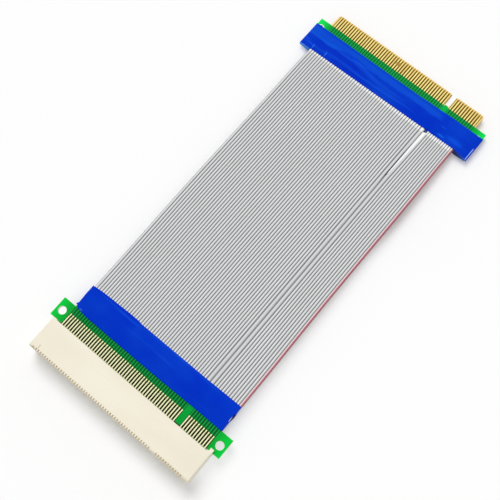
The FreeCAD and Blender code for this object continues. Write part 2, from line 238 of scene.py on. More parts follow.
def solid_copy(node):
    """The faces of a solid, joined up and with its flat faces whole again."""
    shape = bmesh.new()
    shape.from_mesh(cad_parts[node].data)
    bmesh.ops.remove_doubles(shape, verts=shape.verts, dist=0.001 * MM)
    bmesh.ops.dissolve_limit(shape, angle_limit=math.radians(0.5), verts=shape.verts, edges=shape.edges)
    return shape


def break_edges(shape, width, segments, chosen=lambda edge: True):
    """Rounds the sharp edges that are chosen."""
    sharp = [edge for edge in shape.edges if edge.calc_face_angle(0.0) > math.radians(40) and chosen(edge)]
    bmesh.ops.bevel(shape, geom=sharp, offset=width, segments=segments, profile=0.5, affect="EDGES",
                    clamp_overlap=True)


def finished_mesh(name, shape, smooth_angle=None):
    """Mesh of a shape, smooth across edges flatter than the angle."""
    mesh = bpy.data.meshes.new(name)
    shape.to_mesh(mesh)
    shape.free()
    if smooth_angle:
        mesh.shade_smooth()
        mesh.set_sharp_from_angle(angle=smooth_angle)
    return mesh


def board(name, node, material):
    """A board as its solid is cut, with its edges just broken."""
    shape = solid_copy(node)
    break_edges(shape, BOARD_EDGE_BREAK, 1)
    mesh = finished_mesh(name, shape)
    return new_piece(name, mesh, material, "green_laminate", node)


TOOLING_HOLE = plug_high - Vector((2.4, 10.8, 0)) * MM
plug_laminate = laminate_finish(
    "plug_laminate", plug_low, plug_high, TOOLING_HOLE, HOLE_RING, MASK_LINE, plug_high.y + MM,
    gap_and_shade_tones=(tone(66, 40, 0), tone(122, 84, 16)), mask_tones=(tone(14, 230, 90), tone(8, 180, 72)),
    cut_tones=(tone(176, 134, 50), tone(247, 214, 126)))
board("plug_board_masked", "plug_board", plug_laminate)


# Plug lands: copper strips etched on both faces of the plug board. Their front ends are plated with hard
# gold as the edge fingers, and the stretch behind them runs under the mask to the soldered wires.
CORNER_STEPS = 5
FINGER_CORNER = 0.2 * MM
RUB_DEPTH = 0.003 * MM


def strip_mesh(name, width, low, high, corner):
    """Thin strip along Y with rounded corners, from its lowest to its highest place."""
    shape = bmesh.new()
    corners = ((1, high.y, 0), (-1, high.y, 1), (-1, low.y, 2), (1, low.y, 3))
    rim = []
    for side, end, quarter in corners:
        centre_x = side * (width / 2 - corner)
        centre_y = end - math.copysign(corner, end - (low.y + high.y) / 2)
        for step in range(CORNER_STEPS):
            turn = math.radians(90) * (quarter + step / (CORNER_STEPS - 1))
            rim.append((centre_x + corner * math.cos(turn), centre_y + corner * math.sin(turn)))
    bottom = [shape.verts.new((across, along, low.z)) for across, along in rim]
    top = [shape.verts.new((across, along, high.z)) for across, along in rim]
    shape.faces.new(top)
    shape.faces.new(bottom[::-1])
    for index in range(len(rim)):
        after = (index + 1) % len(rim)
        shape.faces.new((bottom[index], bottom[after], top[after], top[index]))
    return finished_mesh(name, shape)


def contact_row_tree():
    """Node tree that sets one piece at every contact position and leaves the key free."""
    tree = bpy.data.node_groups.new("contact_row", "GeometryNodeTree")
    kinds = {"Piece": "Object", "Positions": "Int", "Pitch": "Float", "Key first": "Int", "Key span": "Int",
             "Finish": "Material"}
    for name, kind in kinds.items():
        tree.interface.new_socket(name, in_out="INPUT", socket_type=f"NodeSocket{kind}")
    tree.interface.new_socket("Row", in_out="OUTPUT", socket_type="NodeSocketGeometry")
    sizes = tree.nodes.new("NodeGroupInput")
    size = {name: Value(tree, sizes.outputs[name]) for name in kinds}
    start = Value(tree)
    first_x = (size["Positions"] - 1) * size["Pitch"] * -0.5
    line = start.node("GeometryNodeMeshLine", {"mode": "OFFSET", "count_mode": "TOTAL"}, {
        "Count": size["Positions"],
        "Start Location": start.node("ShaderNodeCombineXYZ", inputs={"X": first_x}),
        "Offset": start.node("ShaderNodeCombineXYZ", inputs={"X": size["Pitch"]})})
    number = start.node("GeometryNodeInputIndex") + 1
    key = (number > size["Key first"] - 0.5) * (number < size["Key first"] + size["Key span"] - 0.5)
    places = start.node("GeometryNodeDeleteGeometry", {"domain": "POINT"},
                        {"Geometry": line, "Selection": key})
    piece = start.node("GeometryNodeObjectInfo", inputs={"Object": size["Piece"]}, output="Geometry")
    row = start.node("GeometryNodeInstanceOnPoints", inputs={"Points": places, "Instance": piece})
    real = start.node("GeometryNodeRealizeInstances", inputs={"Geometry": row})
    done = start.node("GeometryNodeSetMaterial", inputs={"Geometry": real, "Material": size["Finish"]})
    tree.links.new(done.socket, tree.nodes.new("NodeGroupOutput").inputs["Row"])
    return tree


def grown_mesh(name, tree, sizes):
    """Runs a node tree with its named sizes and gives back the plain mesh."""
    carrier = bpy.data.objects.new(name, bpy.data.meshes.new(name))
    bpy.context.scene.collection.objects.link(carrier)
    modifier = carrier.modifiers.new(name, "NODES")
    modifier.node_group = tree
    for item in tree.interface.items_tree:
        if item.in_out == "INPUT":
            modifier[item.identifier] = sizes[item.name]
    evaluated = carrier.evaluated_get(bpy.context.evaluated_depsgraph_get())
    mesh = bpy.data.meshes.new_from_object(evaluated)
    carrier.modifiers.remove(modifier)
    bpy.data.objects.remove(carrier)
    return mesh


contact_row = contact_row_tree()


def row_mesh(name, piece_mesh, material):
    """One piece at every contact position, as one mesh."""
    pattern = bpy.data.objects.new(f"{name}_pattern", piece_mesh)
    mesh = grown_mesh(name, contact_row, {
        "Piece": pattern, "Positions": POSITIONS, "Pitch": PITCH, "Key first": KEY_FIRST,
        "Key span": KEY_SPAN, "Finish": material})
    bpy.data.objects.remove(pattern)
    return mesh


def row_of(name, piece_mesh, material, slot, *nodes):
    """Object for one piece at every contact position."""
    return new_piece(name, row_mesh(name, piece_mesh, material), None, slot, *nodes)


def land_finish(name, plated_low, plated_high, plating, edge_shade_tone, edge_shade_from):
    """Plated from plated_low to plated_high in Y, with painted shade from a share of the pitch. Masked
    beyond.
    """
    material, place = new_finish(name, {"Specular IOR Level": MASK_SHINE})
    x, y, _ = place.axes()
    plated = (y > plated_low) * (y < plated_high)
    from_middle = abs((x / PITCH).math("FRACT") - 0.5)
    rubbed = place.stretched(1.0, 0.06, 1.0).noise(1800.0, 3.0).between(0.35, 0.75)
    # Painted shade towards each strip's edges, and darker where the plating is rubbed
    edge_shade_and_rub = (from_middle.between(edge_shade_from, edge_shade_from + 0.2) + 0.3 * rubbed).math("MINIMUM", 1.0)
    metal = (0.8 * patch(place, SCUFF_CENTRE, SCUFF_REACH)).mix(edge_shade_and_rub.mix(plating, edge_shade_tone), SCUFF_TONE)
    masked = place.noise(90.0).mix(tone(24, 164, 77), tone(14, 151, 66))
    paint(plated.mix(masked, metal), "Base Color")
    paint(plated * 0.9, "Metallic")
    paint(0.34 - 0.1 * plated + 0.1 * rubbed, "Roughness")
    relief(rubbed, RUB_DEPTH)
    return material


finger_gold = land_finish("finger_gold", MASK_LINE, plug_high.y, plating=tone(255, 247, 160),
                          edge_shade_tone=tone(184, 128, 14), edge_shade_from=0.12)
for layer in ("upper", "lower"):
    node = f"plug_lands_{layer}"
    finger = strip_mesh(node, FINGER_WIDTH, *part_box(node), FINGER_CORNER)
    row_of(f"plug_fingers_{layer}", finger, finger_gold, "gold_finger", node)


# Slot board: the same laminate, with a drilled tab at each end. It butts against the feet of the slot's
# housing, with one row of contact tails soldered to each face, and its neck lies under the tape.
PAD_LENGTH = 5.5 * MM
slot_low, slot_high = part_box("slot_board")
PAD_LINE = slot_low.y + PAD_LENGTH
MOUNTING_HOLE = Vector((slot_high.x - 2.9 * MM, slot_low.y + 4.2 * MM))
# The gaps between the slot's pads take a near-black tone: painted shade between the contact tails
slot_laminate = laminate_finish(
    "slot_laminate", slot_low, slot_high, MOUNTING_HOLE, 0.0, slot_low.y - MM, PAD_LINE,
    gap_and_shade_tones=(tone(0, 0, 0), tone(40, 52, 0)), mask_tones=(tone(5, 206, 64), tone(2, 158, 56)))
board("slot_board_masked", "slot_board", slot_laminate)


# Slot lands: the copper of the slot board. The front ends are bare pads for the contact tails, and the rest
# runs under the mask to the soldered wires, as on the plug board.
PAD_WIDTH = 0.5 * MM
PAD_CORNER = 0.15 * MM
pad_metal = land_finish("pad_metal", slot_low.y, PAD_LINE, plating=tone(248, 255, 192),
                        edge_shade_tone=tone(238, 250, 178), edge_shade_from=0.3)
for layer in ("upper", "lower"):
    node = f"slot_lands_{layer}"
    pad = strip_mesh(node, PAD_WIDTH, *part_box(node), PAD_CORNER)
    row_of(f"slot_pads_{layer}", pad, pad_metal, "tinned_pad", node)


# Slot housing: one ivory moulding in glass-filled polyester. The card slot has a lead-in along its mouth,
# and the key parts it. A cavity crosses it at each contact position. Small notches line the mouth's rims.
HOUSING_EDGE_BREAK = 0.16 * MM
LONG_EDGE = 2.9 * MM
NOTCH_WIDTH = 0.55 * MM
NOTCH_DEPTH = 1.2 * MM
NOTCH_HEIGHT = 1.1 * MM
NOTCH_REACH = 0.02 * MM
RIM_REACH = 0.9 * MM
RIM_SPREAD = 0.7 * MM
RIM_SPREAD_FROM = 18 * MM
RIM_SPREAD_TO = 32 * MM
GRAIN_DEPTH = 0.006 * MM
LEAD_IN = 0.35 * MM
SLOT_HALF_WIDTH = 0.9 * MM
housing_low, housing_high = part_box("slot_housing")
SLOT_LEVEL = (housing_low.z + housing_high.z) / 2
SHADE_SPOT = Vector((housing_low.x + 2.2 * MM, housing_low.y + 0.4 * MM, housing_high.z - 0.2 * MM))


def ivory_finish():
    """Ivory compound with flow marks and specks, with painted shade along the rim, in the notches and at one
    corner.
    """
    material, place = new_finish("ivory_polyester", {"Specular IOR Level": 0.3})
    x, y, z = place.axes()
    flow = place.stretched(0.35, 1.0, 1.0).noise(60.0, 3.0).between(0.3, 0.7)
    specks = place.noise(2600.0, 1.0).between(0.66, 0.72)
    body = flow.mix(tone(245, 239, 221), tone(239, 232, 212))
    body = (specks * 0.35).mix(body, tone(226, 214, 186))
    # Painted shade: a dark brown spot at the left end of the mouth
    from_shade_spot = place.node("ShaderNodeVectorMath", {"operation": "DISTANCE"}, {0: place, 1: SHADE_SPOT},
                            output="Value")
    shade_spot = 1 - (from_shade_spot + 0.4 * MM * place.noise(1800.0)).between(0.5 * MM, 1.2 * MM)
    body = (shade_spot * 0.8).mix(body, tone(150, 108, 62))
    # Painted shade: a darker band along the top of the mouth's rim, broader towards the right-hand end
    rim_y = y - RIM_SPREAD * x.between(RIM_SPREAD_FROM, RIM_SPREAD_TO)
    rim = rim_y.between(housing_low.y + RIM_REACH, housing_low.y, "LINEAR")
    body = (rim * (z > housing_high.z - RIM_REACH / 2)).mix(body, tone(220, 211, 186))
    # Painted shade: a little darker inside the notches
    across_notch = abs((x / PITCH).math("FRACT") - 0.5) * PITCH < NOTCH_WIDTH / 2 + NOTCH_REACH
    at_contact = (abs(x) < ROW_EDGE) * (abs(x - KEY_X) > PITCH)
    notch_level = housing_high.z - SLOT_LEVEL - NOTCH_HEIGHT - NOTCH_REACH
    at_rim = (y < housing_low.y + NOTCH_DEPTH + NOTCH_REACH) * (abs(z - SLOT_LEVEL) > notch_level)
    paint((across_notch * at_contact * at_rim).mix(body, tone(244, 235, 212)), "Base Color")
    paint(0.46 + 0.12 * flow, "Roughness")
    relief(place.noise(3200.0, 2.0), GRAIN_DEPTH)
    return material


def on_slot_rim(edge):
    """An edge of the card slot in the face of the mouth."""
    return all(abs(vert.co.y - housing_low.y) < 0.01 * MM
               and abs(abs(vert.co.z - SLOT_LEVEL) - SLOT_HALF_WIDTH) < 0.01 * MM for vert in edge.verts)


def notch_mesh():
    """Cutter for the two notches, above and below, of one contact position."""
    shape = bmesh.new()
    for rim in (housing_low.z, housing_high.z):
        block = bmesh.ops.create_cube(shape, size=1.0)["verts"]
        bmesh.ops.scale(shape, verts=block, vec=(NOTCH_WIDTH, 2 * NOTCH_DEPTH, 2 * NOTCH_HEIGHT))
        bmesh.ops.translate(shape, verts=block, vec=(0, housing_low.y, rim))
    return finished_mesh("rim_notch", shape)


def cut_by(mesh, cutter_mesh):
    """What is left of a mesh outside the cutter."""
    body = bpy.data.objects.new("cut_body", mesh)
    cutter = bpy.data.objects.new("cutter", cutter_mesh)
    for helper in (body, cutter):
        bpy.context.scene.collection.objects.link(helper)
    modifier = body.modifiers.new("cut", "BOOLEAN")
    modifier.object = cutter
    modifier.solver = "EXACT"
    left = bpy.data.meshes.new_from_object(body.evaluated_get(bpy.context.evaluated_depsgraph_get()))
    body.modifiers.remove(modifier)
    for helper in (body, cutter):
        bpy.data.objects.remove(helper)
    return left


ivory = ivory_finish()
housing = solid_copy("slot_housing")
break_edges(housing, LEAD_IN, 1, on_slot_rim)
break_edges(housing, HOUSING_EDGE_BREAK, 2, lambda edge: edge.calc_length() > LONG_EDGE)
moulding = cut_by(finished_mesh("moulding", housing), row_mesh("rim_notches", notch_mesh(), ivory))
new_piece("slot_housing_moulding", moulding, ivory, "ivory_moulding", "slot_housing")


# Slot contacts: strips stamped from phosphor bronze, pressed into the housing from behind. Each tail lies
# on its pad, and the front end bows into the slot to a crown and flares out again at its tip.
CONTACT_WIDTH = 0.5 * MM
CONTACT_THICKNESS = 0.25 * MM
CROWN_SETBACK = 3.5 * MM
SLOT_DEPTH = 8.0 * MM
TIP_TAPER = 0.7
STEPS_A_BEND = 4


def smoothed(points, steps):
    """Points along the curve that passes through the given ones."""
    path = []
    for index in range(len(points) - 1):
        before = points[max(index - 1, 0)]
        start, end = points[index], points[index + 1]
        after = points[min(index + 2, len(points) - 1)]
        for step in range(steps):
            share = step / steps
            path.append(0.5 * (2 * start + (end - before) * share
                               + (2 * before - 5 * start + 4 * end - after) * share ** 2
                               + (3 * start - before - 3 * end + after) * share ** 3))
    return path + [points[-1]]


def contact_mesh(name, side):
    """One contact on a side of the slot: 1 above the board, -1 below."""
    low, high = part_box(name)
    crown = abs((low.z if side > 0 else high.z) - SLOT_LEVEL)
    tip = abs((high.z if side > 0 else low.z) - SLOT_LEVEL)
    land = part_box("slot_lands_upper")[1].z - SLOT_LEVEL
    half = CONTACT_THICKNESS / 2
    crown_y = housing_low.y + CROWN_SETBACK
    root_y = housing_low.y + SLOT_DEPTH
    route = [Vector((0, high.y, land + half)), Vector((0, root_y, land + half)),
             Vector((0, (root_y + crown_y) / 2, (land + crown) / 2 + half)),
             Vector((0, crown_y, crown + half)), Vector((0, low.y, tip - half))]
    path = smoothed(route, STEPS_A_BEND)
    shape = bmesh.new()
    rings = []
    for index, point in enumerate(path):
        tangent = (path[min(index + 1, len(path) - 1)] - path[max(index - 1, 0)]).normalized()
        rise = Vector((0, -tangent.z, tangent.y)) * (-half if tangent.y < 0 else half)
        taper = TIP_TAPER if index == len(path) - 1 else 1.0
        across = Vector((CONTACT_WIDTH / 2 * taper, 0, 0))
        places = (point - across - rise, point + across - rise,
                  point + across + rise, point - across + rise)
        rings.append([shape.verts.new((place.x, place.y, SLOT_LEVEL + side * place.z)) for place in places])
    for ring, following in zip(rings, rings[1:]):
        for corner in range(4):
            after = (corner + 1) % 4
            shape.faces.new((ring[corner], ring[after], following[after], following[corner]))
    shape.faces.new(rings[0])
    shape.faces.new(rings[-1])
    bmesh.ops.recalc_face_normals(shape, faces=shape.faces)
    return finished_mesh(name, shape, math.radians(40))


def contact_finish():
    """Drawn bronze, gilt inside the slot and tinned along the tail."""
    material, place = new_finish("contact_bronze", {"Metallic": 0.9})
    drawn = place.stretched(1.0, 0.1, 1.0).noise(2200.0, 2.0)
    gilt = place.axes()[1] < housing_low.y + SLOT_DEPTH
    tinned = drawn.mix(tone(252, 253, 208), tone(243, 243, 192))
    paint(gilt.mix(tinned, drawn.mix(tone(236, 186, 92), tone(206, 152, 62))), "Base Color")
    paint(0.24 + 0.14 * drawn, "Roughness")
    return material


contact_metal = contact_finish()
for layer, side in (("upper", 1), ("lower", -1)):
    node = f"slot_contacts_{layer}"
    row_of(f"slot_springs_{layer}", contact_mesh(node, side), contact_metal, "gold_finger", node)


# Solder: tin and lead, flowed by hand. It leaves a bead at the end of each contact tail, and it holds the
# tinned wire ends of the flat cable to the lands, where the tape covers them.
BEAD_LENGTH = 0.7 * MM
BEAD_HEIGHT = 0.26 * MM
BEAD_WIDTH = 0.46 * MM


def solder_finish():
    """Bright solder with an uneven skin."""
    material, place = new_finish("bright_solder", {"Metallic": 0.9})
    skin = place.noise(1500.0, 3.0)
    paint(skin.mix(tone(250, 250, 210), tone(228, 228, 184)), "Base Color")
    paint(0.22 + 0.2 * skin, "Roughness")
    return material


def bead_mesh(name, tail_end, level, side):
    """Half of a flattened ball that leans against the end of a tail."""
    shape = bmesh.new()
    bmesh.ops.create_uvsphere(shape, u_segments=10, v_segments=6, radius=1.0)
    bmesh.ops.bisect_plane(shape, geom=shape.verts[:] + shape.edges[:] + shape.faces[:], plane_co=(0, 0, 0),
                           plane_no=(0, 0, -1), clear_outer=True)
    bmesh.ops.holes_fill(shape, edges=shape.edges[:])
    for vert in shape.verts:
        vert.co = (vert.co.x * BEAD_WIDTH / 2, tail_end + vert.co.y * BEAD_LENGTH,
                   level + side * vert.co.z * BEAD_HEIGHT)
    shape.normal_update()
    bmesh.ops.recalc_face_normals(shape, faces=shape.faces)
    return finished_mesh(name, shape, math.radians(50))


solder = solder_finish()
for layer, side in (("upper", 1), ("lower", -1)):
    land_low, land_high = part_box(f"slot_lands_{layer}")
    level = land_high.z if side > 0 else land_low.z
    tail_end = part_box(f"slot_contacts_{layer}")[1].y
    bead = bead_mesh(f"tail_bead_{layer}", tail_end, level, side)
    row_of(f"tail_solder_{layer}", bead, solder, "solder")
    for end in ("slot", "plug"):
        wire_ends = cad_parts[f"{end}_joints_{layer}"]
        wire_ends.data.materials.clear()
        wire_ends.data.materials.append(solder)


# Flat cable: stranded wires in grey insulation, each a round ridge joined to the next by a thin web. A slit
# at the first key position parts each layer between two broader ridges, and gapes at the plug's tape. The
# last wire is red, and the cable strays a little sideways on its way between the boards.
WIRE_RADIUS = 0.45 * MM
WEB_THICKNESS = 0.24 * MM
STEPS_A_WIRE = 10
STATIONS = 44
SLIT_WIDTH = 0.1 * MM
SLIT_LENGTH = 26.5 * MM
SLIT_WIRE = KEY_FIRST - 0.5
BROAD_RIDGE = 1.5
SLIT_CURVE = 0.6
STRIP_YIELD = 0.35
SWAY_AT_SLOT = 0.35 * MM
SWAY = -0.35 * MM
SWAY_AT_PLUG = -0.65 * MM
STREAK_DEPTH = 0.01 * MM
slot_wrap_low, slot_wrap_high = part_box("slot_wrap")
plug_wrap_low, plug_wrap_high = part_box("plug_wrap")


def from_ridge(wire):
    """Distance from the top of the nearest ridge, as a share of that ridge's width."""
    from_slit = abs(wire - SLIT_WIRE)
    broad = from_slit < BROAD_RIDGE
    plain = wire.math("FRACT") - 0.5
    return abs(plain + broad * (from_slit / BROAD_RIDGE - 0.5 - plain))


def cable_tree():
    """Node tree that sweeps a row of ridges along the route, strays sideways and opens the slit."""
    tree = bpy.data.node_groups.new("flat_cable", "GeometryNodeTree")
    kinds = {"Route": "Object", "First wire": "Float", "Wires": "Float", "All wires": "Int",
             "Pitch": "Float", "Radius": "Float", "Web": "Float", "Steps": "Int", "Stations": "Int",
             "Outer wire": "Float", "Slit wire": "Float", "Slit": "Float", "Slit mouth": "Float",
             "Slit curve": "Float", "Strip yield": "Float", "Slit start": "Float", "Slit end": "Float",
             "Slot end": "Float", "Sway at slot": "Float", "Sway": "Float", "Sway at plug": "Float",
             "Finish": "Material"}
    for name, kind in kinds.items():
        tree.interface.new_socket(name, in_out="INPUT", socket_type=f"NodeSocket{kind}")
    tree.interface.new_socket("Cable", in_out="OUTPUT", socket_type="NodeSocketGeometry")
    sizes = tree.nodes.new("NodeGroupInput")
    size = {name: Value(tree, sizes.outputs[name]) for name in kinds}
    start = Value(tree)
    face_steps = size["Wires"] * size["Steps"]
    outline = start.node("GeometryNodeCurvePrimitiveCircle", {"mode": "RADIUS"},
                         {"Resolution": face_steps * 2 + 2}, output="Curve")
    index = start.node("GeometryNodeInputIndex")
    under = index > face_steps + 0.5
    wire = (index + under * (face_steps * 2 + 1 - index * 2)) / size["Steps"] + size["First wire"]
    from_axis = from_ridge(wire) * size["Pitch"] / size["Radius"]
    ridge = (1 - from_axis * from_axis).math("MAXIMUM", 0.0).math("SQRT")
    rise = (ridge * size["Radius"]).math("MAXIMUM", size["Web"] / 2)
    section = start.node("ShaderNodeCombineXYZ", inputs={
        "X": (wire - size["All wires"] / 2) * size["Pitch"], "Y": rise * (under * 2 - 1)})
    outline = start.node("GeometryNodeStoreNamedAttribute", {"data_type": "FLOAT", "domain": "POINT"},
                         {"Geometry": outline, "Name": "wire", "Value": wire})
    outline = start.node("GeometryNodeSetPosition", inputs={"Geometry": outline, "Position": section})
    route = start.node("GeometryNodeObjectInfo", inputs={"Object": size["Route"]}, output="Geometry")
    route = start.node("GeometryNodeResampleCurve", inputs={"Curve": route, "Count": size["Stations"]})
    swept = start.node("GeometryNodeCurveToMesh",
                       inputs={"Curve": route, "Profile Curve": outline, "Fill Caps": True})
    y = start.node("GeometryNodeInputPosition").axes()[1]
    here = start.node("GeometryNodeInputNamedAttribute", {"data_type": "FLOAT"}, {"Name": "wire"},
                      output="Attribute")
    whole = (here - size["Outer wire"]) / (size["Slit wire"] - size["Outer wire"])
    edge = 1 - (abs(here - size["Slit wire"]) / BROAD_RIDGE).math("MINIMUM", 1.0)
    opening = y.between(size["Slit start"], size["Slit end"], "LINEAR").math("POWER", size["Slit curve"])
    gape = opening * size["Slit mouth"] + size["Slit"]
    given_way = size["Strip yield"] * whole + (1 - size["Strip yield"]) * edge
    sway = y.between(size["Slot end"], 0.0) * (size["Sway"] - size["Sway at slot"]) + size["Sway at slot"]
    sway = sway + y.between(size["Slit end"] / 2, size["Slit end"]) * (size["Sway at plug"] - size["Sway"])
    shift = start.node("ShaderNodeCombineXYZ", inputs={"X": gape * given_way + sway * (1 - whole)})
    parted = start.node("GeometryNodeSetPosition", inputs={"Geometry": swept, "Offset": shift})
    smooth = start.node("GeometryNodeSetShadeSmooth", inputs={"Geometry": parted})
    real = start.node("GeometryNodeRealizeInstances", inputs={"Geometry": smooth})
    done = start.node("GeometryNodeSetMaterial", inputs={"Geometry": real, "Material": size["Finish"]})
    tree.links.new(done.socket, tree.nodes.new("NodeGroupOutput").inputs["Cable"])
    return tree


def cable_finish():
    """Grey insulation: painted shade in the grooves, painted highlights where bent at the tapes. The last
    wire is red.
    """
    material, place = new_finish("cable_insulation", {"Specular IOR Level": 0.25})
    wire = place.node("ShaderNodeAttribute", {"attribute_name": "wire"}, output="Fac")
    y = place.axes()[1]
    from_slit = abs(wire - SLIT_WIRE)
    plug_tape = plug_wrap_low.y
    slot_tape = slot_wrap_high.y
    open_slit = y.between(plug_tape - 1.3 * SLIT_LENGTH, plug_tape - 0.9 * SLIT_LENGTH)
    # Painted shade in the grooves, less of it on the broad ridges by the slit
    lit_edge = (from_slit < BROAD_RIDGE / 2) * (0.3 + 0.6 * open_slit * (wire > SLIT_WIRE))
    groove_shade = from_ridge(wire).between(0.2, 0.46) * (1 - lit_edge)
    # Painted shade: a dark line along the long strip's cut edge where the slit gapes
    cut_shade_strength = open_slit * (1 - 0.75 * y.between(plug_tape - 20 * MM, plug_tape - 6 * MM))
    cut = cut_shade_strength * (wire < SLIT_WIRE) * from_slit.between(0.5, 0.25)
    # Painted highlight: the lit flank of the red wire is pale pink
    pink = wire.between(POSITIONS - 0.95, POSITIONS - 0.6)
    red = wire.between(POSITIONS - 0.5, POSITIONS - 0.3)
    streaks = place.stretched(1.0, 0.05, 1.0).noise(700.0, 3.0)
    skin = streaks.mix(tone(232, 233, 234), tone(217, 219, 219))
    skin = (from_slit < BROAD_RIDGE).mix(skin, tone(214, 215, 216))
    grey = cut.mix(groove_shade.mix(skin, tone(110, 111, 112)), tone(34, 35, 36))
    # Painted highlight: the ridges go near white where they bend into the tapes
    at_plug = y.between(plug_tape - 1.2 * MM, plug_tape - 0.4 * MM)
    at_slot = 0.35 * y.between(slot_tape + 1.0 * MM, slot_tape + 0.4 * MM)
    grey = ((at_plug + at_slot) * (1 - groove_shade)).mix(grey, tone(252, 252, 252))
    last = (0.8 * pink).mix(grey, tone(232, 202, 206))
    paint(red.mix(last, tone(192, 114, 126)), "Base Color")
    paint(0.36 + 0.14 * streaks, "Roughness")
    relief(streaks, STREAK_DEPTH)
    return material


def cable_route(layer, slot_level, plug_level, bow):
    """Middle line of a layer: level under each tape, with a slight bow between them."""
    slot_end, plug_end = (corner.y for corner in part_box(f"long_ribbon_{layer}"))
    stretch = plug_wrap_low.y - slot_wrap_high.y
    stations = [(slot_end, slot_level), (slot_wrap_high.y, slot_level)]
    for share, lift in bow:
        level = slot_level + (plug_level - slot_level) * share
        stations.append((slot_wrap_high.y + stretch * share, level + lift * MM))
    stations += [(plug_wrap_low.y, plug_level), (plug_end, plug_level)]
    curve = bpy.data.curves.new(f"route_{layer}", "CURVE")
    curve.dimensions = "3D"
    spline = curve.splines.new("NURBS")
    spline.points.add(len(stations) - 1)
    for point, (along, level) in zip(spline.points, stations):
        point.co = (0, along, level, 1)
    spline.use_endpoint_u = True
    spline.order_u = 3
    spline.resolution_u = 12
    return bpy.data.objects.new(f"route_{layer}", curve)


# Bow of each layer: share of the way from slot to plug, and lift in mm
BOWS = {"upper": [(0.03, 0.15), (0.12, 0.2), (0.35, 0.5), (0.6, 0.8), (0.85, 0.6), (0.97, 0.4)],
        "lower": [(0.12, 0.0), (0.35, 0.25), (0.6, 0.4), (0.85, 0.1)]}
# How far each strip's edge stands off at the slit's mouth
SLIT_MOUTHS = {"upper": {"long": 0.15 * MM, "short": 1.5 * MM},
               "lower": {"long": -1.6 * MM, "short": 2.4 * MM}}
flat_cable = cable_tree()
insulation = cable_finish()
for layer, bow in BOWS.items():
    boards = (slot_low, slot_high), (plug_low, plug_high)
    levels = [high.z + WIRE_RADIUS if layer == "upper" else low.z - WIRE_RADIUS for low, high in boards]
    route = cable_route(layer, *levels, bow)
    strips = (("long", 0.0, SLIT_WIRE, 0.0, 0.0),
              ("short", SLIT_WIRE, POSITIONS - SLIT_WIRE, POSITIONS, SLIT_WIDTH))
    for strip, first_wire, wires, outer_wire, slit in strips:
        mesh = grown_mesh(f"{strip}_cable_{layer}", flat_cable, {
            "Route": route, "First wire": first_wire, "Wires": wires, "All wires": POSITIONS,
            "Pitch": PITCH, "Radius": WIRE_RADIUS, "Web": WEB_THICKNESS, "Steps": STEPS_A_WIRE,
            "Stations": STATIONS, "Outer wire": float(outer_wire), "Slit wire": SLIT_WIRE, "Slit": slit,
            "Slit mouth": SLIT_MOUTHS[layer][strip], "Slit curve": SLIT_CURVE, "Strip yield": STRIP_YIELD,
            "Slit start": plug_wrap_low.y - SLIT_LENGTH, "Slit end": plug_wrap_low.y,
            "Slot end": slot_wrap_high.y, "Sway at slot": SWAY_AT_SLOT, "Sway": SWAY,
            "Sway at plug": SWAY_AT_PLUG, "Finish": insulation})
        new_piece(f"{strip}_cable_{layer}", mesh, None, "grey_cable", f"{strip}_ribbon_{layer}")
    bpy.data.objects.remove(route)


# Tape: glossy blue film wound round each board and the cable ends on it. It lies low on the board in front,
# rises over the soldered wires to the cable, and is pressed shut in the slit and beyond the cable's edges.
TAPE_THICKNESS = 0.22 * MM
TAPE_STEPS_ACROSS = 220
TAPE_STEPS_ALONG = 26
TAPE_END_STEPS = 8
FOLD_SHARE = 0.012
GRIP_DEPTH = 0.12 * MM
MOUTH_SHIFT = 0.9 * MM
SLIT_X = (SLIT_WIRE - POSITIONS / 2) * PITCH + MOUTH_SHIFT
SAG_REACH = 1.05 * MM
SHUT_REACH = 1.2 * MM
PRESSED_EDGE = 0.4 * MM
LIFTED_SHEEN_FROM = 4.7 * MM
LIFTED_SHEEN_TO = 5.8 * MM
LEFT_FOLD = 0.5 * MM
RIGHT_FOLD = 1.15 * MM
SLIT_FOLD = 1.3 * MM
GAP_SHADE_PLACE = 6.8 * MM
GLEAM_PLACE = 0.7 * MM
PULL_DEPTH = 0.012 * MM
# Small painted highlights on both tapes: place and reach in mm, and tone
TAPE_HIGHLIGHTS = [(-37.0, -76.4, 0.9, 0.4, tone(70, 122, 236)), (39.5, -71.1, 0.22, 1.5, tone(218, 230, 250)),
              (-18.2, 86.0, 5.0, 0.4, tone(16, 92, 226)), (-39.6, 79.9, 0.5, 1.4, tone(40, 110, 235)),
              (-32.8, 80.2, 0.5, 1.6, tone(40, 110, 235)), (30.8, 80.7, 2.4, 0.7, tone(14, 98, 230)),
              (37.0, 82.0, 5.0, 1.6, tone(12, 80, 220)), (29.4, 84.6, 2.0, 0.5, tone(10, 76, 218))]


def smooth_step(value, low, high):
    """Smooth rise from 0 at low to 1 at high."""
    share = min(max((value - low) / (high - low), 0.0), 1.0)
    return share * share * (3 - 2 * share)


